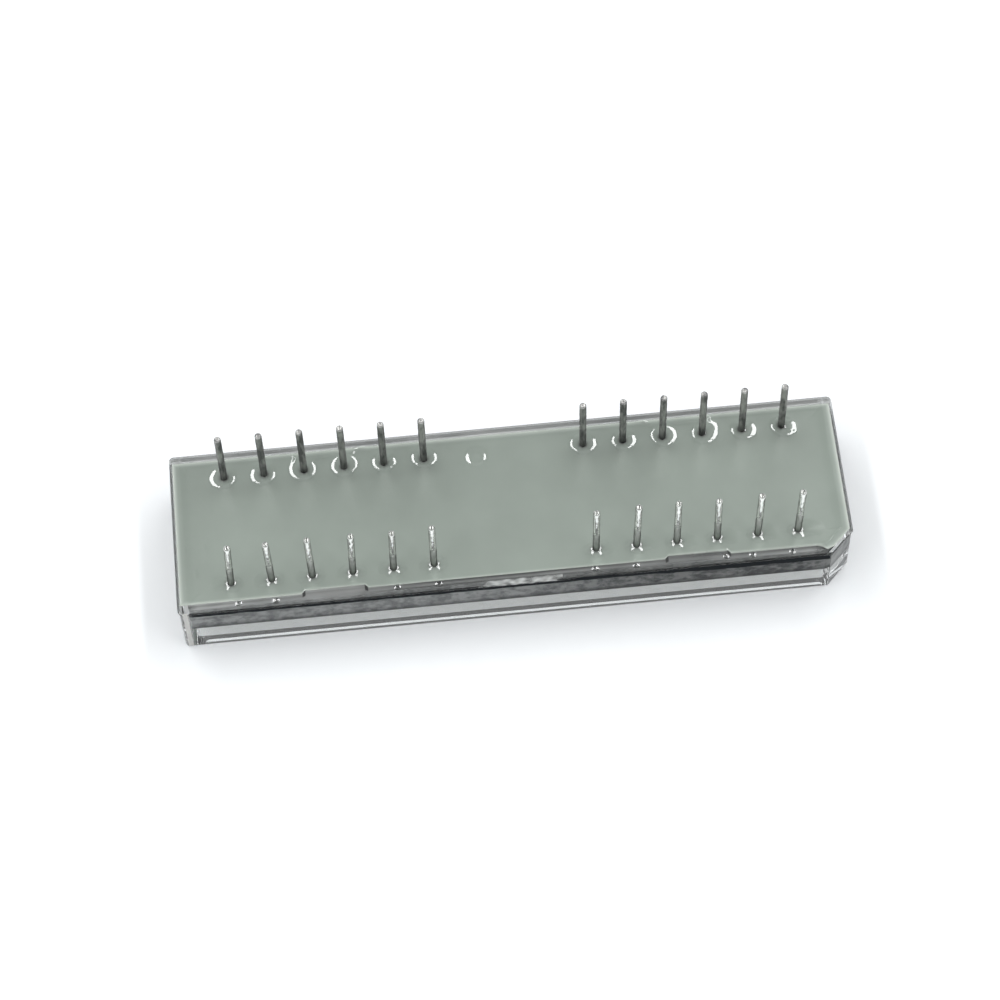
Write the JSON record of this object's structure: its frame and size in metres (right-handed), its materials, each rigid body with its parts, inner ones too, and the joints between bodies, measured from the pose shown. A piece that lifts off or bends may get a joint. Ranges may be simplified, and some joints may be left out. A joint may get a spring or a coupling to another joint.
{
  "type": "dot matrix led display",
  "caption": "Alphanumeric dot matrix LED display in a clear moulded case backfilled with grey epoxy, with two rows of round tinned pins and a cut corner.",
  "frame": {"origin": "centre of the flat front window, which the display lies on", "axes": "+X along the case towards the cut corner's end, +Y across the case away from the cut corner, +Z from the window towards the pin tips"},
  "size_m": [0.0424, 0.0114, 0.0094],
  "materials": {
    "clear_plastic": "clear moulded plastic, polished",
    "grey_epoxy": "poured epoxy, smooth and slightly glossy",
    "board_laminate": "glass-epoxy laminate with dark solder mask",
    "silicon": "bare die",
    "black_encapsulant": "cured epoxy drop",
    "gold_plate": "gold-plated copper",
    "solder": "solder, bright",
    "led_die": "semiconductor die",
    "tinned_pin": "tinned wire, satin"
  },
  "bodies": {
    "root": {"lens_cover": "clear_plastic", "circuit_board": "board_laminate", "backfill_epoxy": "grey_epoxy", "driver_chip": "silicon", "chip_encapsulant": "black_encapsulant", "column_tracks": "gold_plate", "solder_joints": "solder", "led_character_1": "led_die", "led_character_2": "led_die", "led_character_3": "led_die", "led_character_4": "led_die", "led_character_5": "led_die", "led_character_6": "led_die", "led_character_7": "led_die", "led_character_8": "led_die", "pin_1": "tinned_pin", "pin_2": "tinned_pin", "pin_3": "tinned_pin", "pin_4": "tinned_pin", "pin_5": "tinned_pin", "pin_6": "tinned_pin", "pin_10": "tinned_pin", "pin_11": "tinned_pin", "pin_12": "tinned_pin", "pin_13": "tinned_pin", "pin_14": "tinned_pin", "pin_15": "tinned_pin", "pin_16": "tinned_pin", "pin_17": "tinned_pin", "pin_18": "tinned_pin", "pin_19": "tinned_pin", "pin_20": "tinned_pin", "pin_21": "tinned_pin", "pin_25": "tinned_pin", "pin_26": "tinned_pin", "pin_27": "tinned_pin", "pin_28": "tinned_pin", "pin_29": "tinned_pin", "pin_30": "tinned_pin"}
  },
  "joints": []
}
